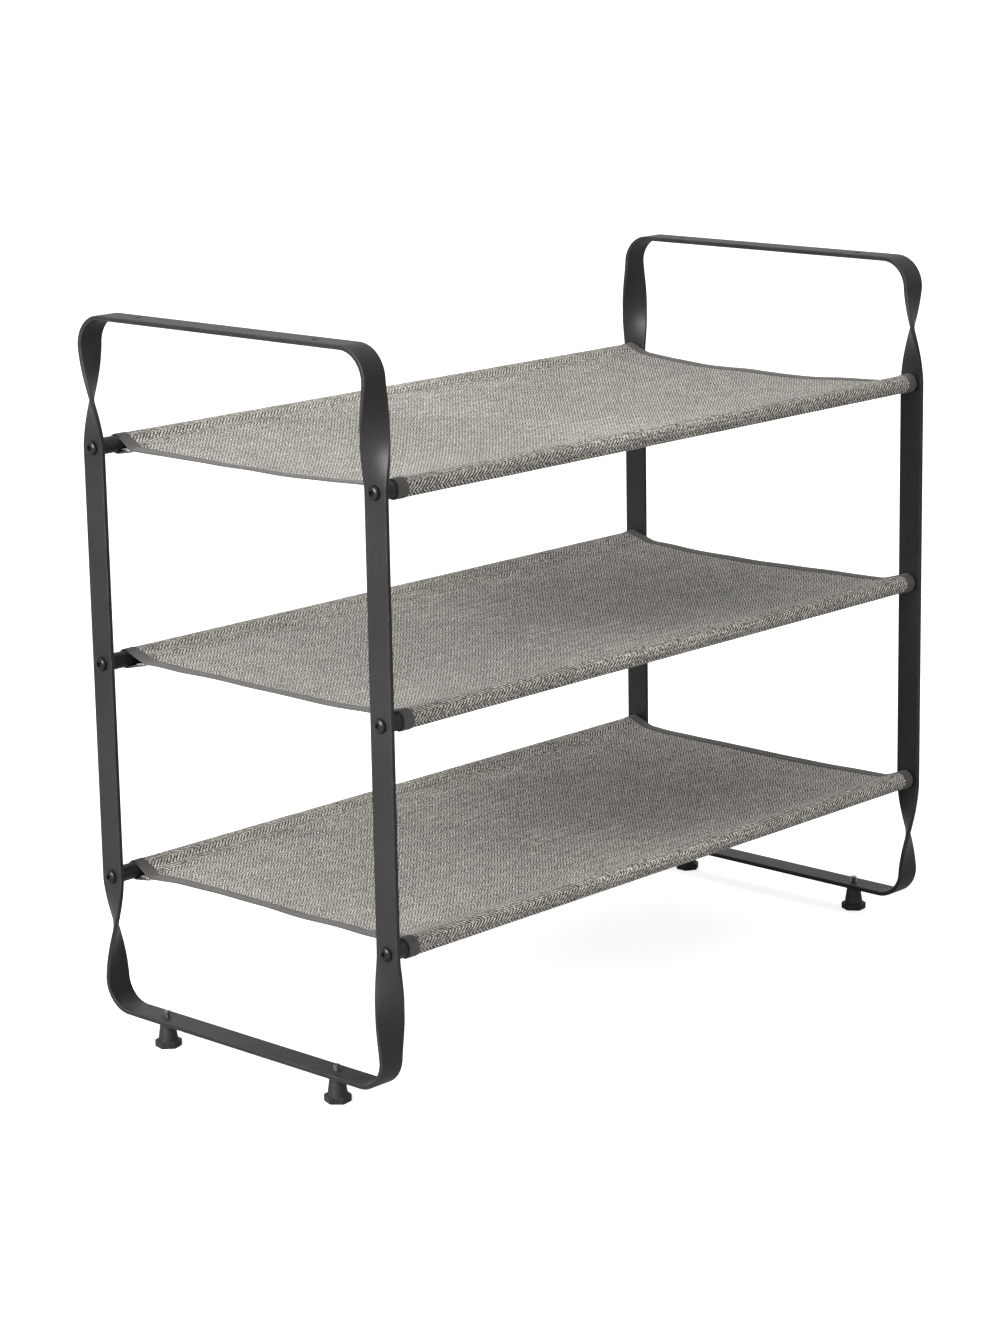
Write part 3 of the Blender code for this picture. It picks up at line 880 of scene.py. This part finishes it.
class ClothLine:
    """The cloth's section, measured from the shelf's middle out to its end in the sleeve.

    Points are (distance from the rack's middle, height from the rail's axis). The sheet goes over
    the rail, comes back under it and is sewn to itself with its end turned up inside the sleeve.
    """

    def __init__(self, join_in):
        join_q = UPRIGHT_Y - join_in
        over, under = LAYER_STEP / 2, -LAYER_STEP
        high = lift_off(join_q, over, -1)
        low = lift_off(join_q, under, 1) - 2 * math.pi
        rim = [high + (low - high) * i / 60 for i in range(61)]
        arc = [
            (UPRIGHT_Y + CLOTH_RADIUS * math.cos(a), CLOTH_RADIUS * math.sin(a)) for a in rim
        ]
        sheet_end = join_q - CREASE_RUN
        run = Vector(arc[0]) - Vector((join_q, over))
        crease_end = Vector((join_q, over)) + run.normalized() * CREASE_RUN
        crease = []
        for i in range(1, 13):
            t = i / 12
            first = Vector((sheet_end, over)).lerp(Vector((join_q, over)), t)
            crease.append(tuple(first.lerp(Vector((join_q, over)).lerp(crease_end, t), t)))
        fold = (join_q - 0.001, under + LAYER_STEP / 4)
        turn = [
            (
                fold[0] - LAYER_STEP / 4 * math.sin(math.pi * i / 8),
                fold[1] - LAYER_STEP / 4 * math.cos(math.pi * i / 8),
            )
            for i in range(9)
        ]
        hem = (join_q + HEM_ALLOWANCE, under + 0.6 * LAYER_STEP - 0.0022)
        parts = [[(0.0, over), (sheet_end, over)], crease, arc, turn, [hem]]
        self.line, self.reach, marks = [], [], []
        for part in parts:
            for point in part:
                spot = Vector(point)
                step = (spot - self.line[-1]).length if self.line else 0.0
                self.line.append(spot)
                self.reach.append((self.reach[-1] if self.reach else 0.0) + step)
            marks.append(self.reach[-1])
        self.sheet_end, self.crease_end, self.sleeve_end, self.fold_end, self.half = marks
        self.sleeve_start = self.reach[2 + len(crease)]
        self.fold_start = self.reach[2 + len(crease) + len(arc)]
        self.seam = self.sheet_end + CREASE_RUN

    def at(self, s):
        """The point at distance s from the shelf's middle, in y outward and height."""
        s = min(max(s, 0.0), self.half)
        high = min(max(bisect.bisect_right(self.reach, s), 1), len(self.reach) - 1)
        share = (s - self.reach[high - 1]) / (self.reach[high] - self.reach[high - 1])
        return self.line[high - 1].lerp(self.line[high], share)

    def stations(self, hem=True):
        """Distances from the middle at which the cloth has a row of points."""
        bounds = [
            (0.0, self.sheet_end, 24),
            (self.sheet_end, self.crease_end, 8),
            (self.crease_end, self.sleeve_start, 4),
            (self.sleeve_start, self.sleeve_end, 26),
            (self.sleeve_end, self.fold_start, 6),
        ]
        if hem:
            bounds += [(self.fold_start, self.fold_end, 6), (self.fold_end, self.half, 3)]
        rows = [0.0]
        for low, high, count in bounds:
            rows += [low + (high - low) * (i + 1) / count for i in range(count)]
        return rows


CLOTH = {level: ClothLine(join_in) for level, join_in in JOIN_IN.items()}
CLOTH_MIDDLE_X = (CLOTH_LEFT + CLOTH_RIGHT) / 2
CLOTH_HALF_X = (CLOTH_RIGHT - CLOTH_LEFT) / 2


def ripple(level, x, y, size, seed):
    """Gentle repeatable unevenness, from -1 to 1."""
    return noise.noise(Vector((x / size, y / size, seed + 7.3 * LEVELS.index(level))))


def cloth_point(level, x, s):
    """Where the cloth's middle line lies at x along the rails and s from the shelf's middle."""
    line, join_in = CLOTH[level], JOIN_IN[level]
    q, height = line.at(abs(s))
    join_q = UPRIGHT_Y - join_in
    along = (x - CLOTH_MIDDLE_X) / CLOTH_HALF_X
    inside = max(0.0, 1 - (q / join_q) ** 2)
    edge_sag, middle_sag = EDGE_SAG[level], MIDDLE_SAG[level]
    if abs(s) < line.crease_end:
        height -= (edge_sag + (middle_sag - edge_sag) * (1 - along * along)) * inside
        y = math.copysign(q, s)
        waves = 0.0006 * ripple(level, x, y, 0.07, 1.7) + 0.0009 * ripple(level, x, y, 0.19, 4.1)
        from_edge = CLOTH_HALF_X - abs(x - CLOTH_MIDDLE_X)
        height += EDGE_CURL * inside * max(0.0, 1 - from_edge / CURL_REACH) ** 2
        edge_share = max(0.0, 1 - from_edge / 0.05)
        waves += 0.0012 * edge_share * ripple(level, x * 0.2, y, 0.045, 9.2)
        height += waves * min(1.0, 2.5 * inside)
    elif line.sleeve_start < abs(s) < line.sleeve_end:
        swell = 0.00018 * max(0.0, ripple(level, x, 3 * s, 0.03, 5.5))
        away = Vector((q - UPRIGHT_Y, height)).normalized() * swell
        q, height = q + away.x, height + away.y
    depth = "back" if s > 0 else "front"
    from_left = max(0.0, 1 - (x - CLOTH_LEFT) / MOUTH_REACH)
    slack = min(1.0, max(0.0, (UPRIGHT_Y - q) / join_in))
    slack *= min(1.0, q / join_q) ** 2
    height -= MOUTH_DROOP[level][depth] * from_left * from_left * slack
    y = math.copysign(q, s)
    drawn = EDGE_BOW * inside
    left_shift = EDGE_SKEW * y / UPRIGHT_Y + drawn
    x += (left_shift * (1 - along) - 0.5 * drawn * (1 + along)) / 2
    return Vector((x, y, RAIL_Z[level] + height))


def cloth_facing(level, x, s):
    """The way the cloth's outer side faces: up on the sheet, outward round the sleeves."""
    step = 0.0004
    ahead, behind = cloth_point(level, x, s + step), cloth_point(level, x, s - step)
    run = (ahead - behind).normalized()
    return Vector((0, -run.z, run.y)).normalized()


def mapped_sheet(name, columns, rows, shape, finish):
    """A grid laid out by shape(x, s); its UV map is in metres along and round the cloth."""
    bm = bmesh.new()
    bmesh.ops.create_grid(bm, x_segments=len(columns) - 1, y_segments=len(rows) - 1, size=0.5)
    uv = bm.loops.layers.uv.new("cloth")
    spots = {}
    for vert in bm.verts:
        column = round((vert.co.x + 0.5) * (len(columns) - 1))
        row = round((vert.co.y + 0.5) * (len(rows) - 1))
        spots[vert.index] = (columns[column], rows[row])
    for face in bm.faces:
        for loop in face.loops:
            loop[uv].uv = spots[loop.vert.index]
    for vert in bm.verts:
        vert.co = shape(*spots[vert.index])
    return finished(name, bm, finish, 60)


def woven_shelf(level):
    low, high = CLOTH_LEFT + TAPE_INSET, CLOTH_RIGHT - TAPE_INSET
    count = 150
    columns = [low + (high - low) * i / count for i in range(count + 1)]
    half_rows = CLOTH[level].stations()
    rows = [-s for s in half_rows[:0:-1]] + half_rows
    shelf = mapped_sheet(
        f"woven_shelf_{level}",
        columns,
        rows,
        lambda x, s: cloth_point(level, x, s),
        herringbone_cloth,
    )
    thick = shelf.modifiers.new("cloth", "SOLIDIFY")
    thick.thickness = CLOTH_THICKNESS
    thick.offset = 0
    return shelf


def edge_tape(level, side):
    """Tape folded over the cloth's side edge, from one sleeve's seam round to the other's."""
    outward = SIDES[side]
    edge_x = CLOTH_LEFT if side == "left" else CLOTH_RIGHT
    stand = (CLOTH_THICKNESS + TAPE_THICKNESS) / 2 + 0.00002
    fold_x = edge_x - outward * (stand + TAPE_THICKNESS / 2)
    width = TAPE_WIDTH - stand
    flat_steps, fold_steps = 5, 6
    across = [-(stand * math.pi / 2 + width * (1 - i / flat_steps)) for i in range(flat_steps)]
    fold = [stand * math.pi * (i / fold_steps - 0.5) for i in range(fold_steps + 1)]
    across += fold + [-w for w in across[::-1]]
    rows = CLOTH[level].stations(hem=False)
    rows = [-s for s in rows[:0:-1]] + rows

    def shape(w, s):
        limit = stand * math.pi / 2
        if abs(w) <= limit:
            angle = w / stand
            out, rise = stand * math.cos(angle), stand * math.sin(angle)
        else:
            out, rise = limit - abs(w), math.copysign(stand, w)
        x = fold_x + outward * out
        lift = 0.00012 * ripple(level, x, s, 0.012, 2.2) if abs(w) > limit else 0.0
        middle = cloth_point(level, x, s)
        return middle + cloth_facing(level, x, s) * (rise + math.copysign(abs(lift), rise))

    tape = mapped_sheet(f"edge_tape_{level}_{side}", across, rows, shape, grey_tape)
    thick = tape.modifiers.new("tape", "SOLIDIFY")
    thick.thickness = TAPE_THICKNESS
    thick.offset = 0
    return tape


def stitch_row(name, spots, finish):
    """A row of lockstitches, each (place, direction, facing)."""
    bm = bmesh.new()
    one = bmesh.new()
    bmesh.ops.create_uvsphere(one, u_segments=6, v_segments=4, radius=1)
    stitch = bpy.data.meshes.new("stitch")
    one.to_mesh(stitch)
    one.free()
    size = Matrix.Diagonal((STITCH_LENGTH / 2, STITCH_WIDTH / 2, STITCH_WIDTH / 2, 1))
    for place, run, facing in spots:
        side = facing.cross(run).normalized()
        turn = Matrix((run, side, run.cross(side))).transposed().to_4x4()
        first = len(bm.verts)
        bm.from_mesh(stitch)
        bm.verts.ensure_lookup_table()
        bmesh.ops.transform(
            bm, matrix=Matrix.Translation(place) @ turn @ size, verts=bm.verts[first:]
        )
    bpy.data.meshes.remove(stitch)
    return finished(name, bm, finish, 80)


def seam_spots(level, y_sign):
    """Stitches along the sleeve's seam, above the sheet and under the layers sewn to it."""
    line = CLOTH[level]
    low, high = CLOTH_LEFT + TAPE_WIDTH + 0.002, CLOTH_RIGHT - TAPE_WIDTH - 0.002
    count = int((high - low) / STITCH_PITCH)
    spots = []
    for i in range(count):
        x = low + (high - low) * (i + 0.5) / count
        for s, way in ((line.seam + 0.001, 1), (line.fold_start - 0.003, -1)):
            outer = cloth_facing(level, x, y_sign * s)
            if outer.z * way < 0:
                outer = -outer
            place = cloth_point(level, x, y_sign * s) + outer * (CLOTH_THICKNESS / 2 - 0.00006)
            spots.append((place, Vector((1, 0, 0)), outer))
    return spots


def tape_spots(level, side):
    """Stitches along the tape's inner edge, on both of its layers."""
    outward = SIDES[side]
    edge_x = CLOTH_LEFT if side == "left" else CLOTH_RIGHT
    x = edge_x - outward * (TAPE_WIDTH - 0.0016)
    line = CLOTH[level]
    count = int(2 * line.fold_start / STITCH_PITCH)
    spots = []
    for i in range(count):
        s = line.fold_start * (2 * (i + 0.5) / count - 1)
        facing = cloth_facing(level, x, s)
        run = (cloth_point(level, x, s + 0.0005) - cloth_point(level, x, s - 0.0005)).normalized()
        lift = CLOTH_THICKNESS / 2 + TAPE_THICKNESS + 0.00008
        for way in (1, -1):
            if way < 0 and abs(s) > line.seam - 0.001:
                continue
            spots.append((cloth_point(level, x, s) + facing * lift * way, run, facing * way))
    return spots


def shelves():
    for level in LEVELS:
        shelf = woven_shelf(level)
        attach(shelf, "rack")
        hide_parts(f"shelf_fabric_{level}")
        extras = []
        for side in SIDES:
            tape = edge_tape(level, side)
            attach(tape, "rack")
            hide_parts(f"edge_binding_{level}_{side}")
            rows = stitch_row(f"tape_stitches_{level}_{side}", tape_spots(level, side), dark_thread)
            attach(rows, "rack")
            extras += [tape, rows]
        for depth, y_sign in DEPTHS.items():
            rows = stitch_row(
                f"seam_stitches_{level}_{depth}", seam_spots(level, y_sign), grey_thread
            )
            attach(rows, "rack")
            extras.append(rows)


# ---------------------------------------------------------------- floor, light and camera


def floor():
    bm = bmesh.new()
    bmesh.ops.create_grid(bm, x_segments=1, y_segments=1, size=45)
    made, tree, shader, place = new_finish("pale_floor", 0.9, specular_level=0.1)
    seen = tree.nodes.new("ShaderNodeLightPath").outputs["Is Camera Ray"]
    patchy = cloud(tree, place, 3.0, 2.0, 0.5)
    pale = blend(tree, spread(tree, patchy, 0.3, 0.7), (0.90, 0.90, 0.895), (0.92, 0.92, 0.915))
    tree.links.new(blend(tree, seen, (0.45, 0.45, 0.45), pale), shader.inputs["Base Color"])
    shader.inputs["Emission Color"].default_value = (1, 1, 1, 1)
    tree.links.new(calc(tree, "MULTIPLY", seen, 0.72), shader.inputs["Emission Strength"])
    ground = finished("floor", bm, made)


def lamp(name, kind, energy, place, target, size=None, **options):
    data = bpy.data.lights.new(name, kind)
    data.energy = energy
    if size:
        data.shape = "RECTANGLE"
        data.size, data.size_y = size
    for option, value in options.items():
        setattr(data, option, value)
    light = bpy.data.objects.new(name, data)
    light.location = place
    light.rotation_euler = (Vector(target) - Vector(place)).to_track_quat("-Z", "Y").to_euler()
    bpy.context.scene.collection.objects.link(light)


def studio():
    world = bpy.data.worlds.new("white studio")
    bpy.context.scene.world = world
    world.use_nodes = True
    tree = world.node_tree
    sky = tree.nodes["Background"]
    seen = tree.nodes.new("ShaderNodeLightPath").outputs["Is Camera Ray"]
    tree.links.new(calc(tree, "MULTIPLY_ADD", seen, 0.34, 0.66), sky.inputs["Strength"])
    sky.inputs["Color"].default_value = (1, 1, 1, 1)
    lamp("overhead", "SUN", 0.7, (-0.3, 0.3, 3), (0, 0, 0), angle=math.radians(90))
    lamp("left window", "AREA", 52, (-1.9, -0.05, 1.05), (-0.1, 0, 0.3), (1.2, 1.0))
    cool = (0.82, 0.88, 1.0)
    lamp("cool card", "AREA", 2.2, (-2.3, -1.5, 0.7), (0, 0, 0.4), (0.6, 1.2), color=cool)
    bpy.context.scene.view_settings.view_transform = "Standard"


def camera():
    azimuth, elevation, roll = (math.radians(angle) for angle in (-46.644, 13.394, -1.031))
    back = Vector(
        (
            math.sin(azimuth) * math.cos(elevation),
            -math.cos(azimuth) * math.cos(elevation),
            math.sin(elevation),
        )
    )
    right = (-back).cross(Vector((0, 0, 1))).normalized()
    up = right.cross(-back)
    right, up = (
        math.cos(roll) * right + math.sin(roll) * up,
        math.cos(roll) * up - math.sin(roll) * right,
    )
    data = bpy.data.cameras.new("camera")
    data.lens = 95.15
    data.sensor_width = 36.0
    data.clip_end = 120.0
    eye = bpy.data.objects.new("camera", data)
    eye.matrix_world = Matrix.Translation((-2.1901, -2.0381, 0.9935)) @ Matrix(
        (right, up, back)
    ).transposed().to_4x4()
    bpy.context.scene.collection.objects.link(eye)
    bpy.context.scene.camera = eye


draws = random.Random(7)
camera()
studio()
floor()
for frame_side, frame_outward in SIDES.items():
    side_frame(frame_side, frame_outward)
rails_and_screws()
feet()
shelves()
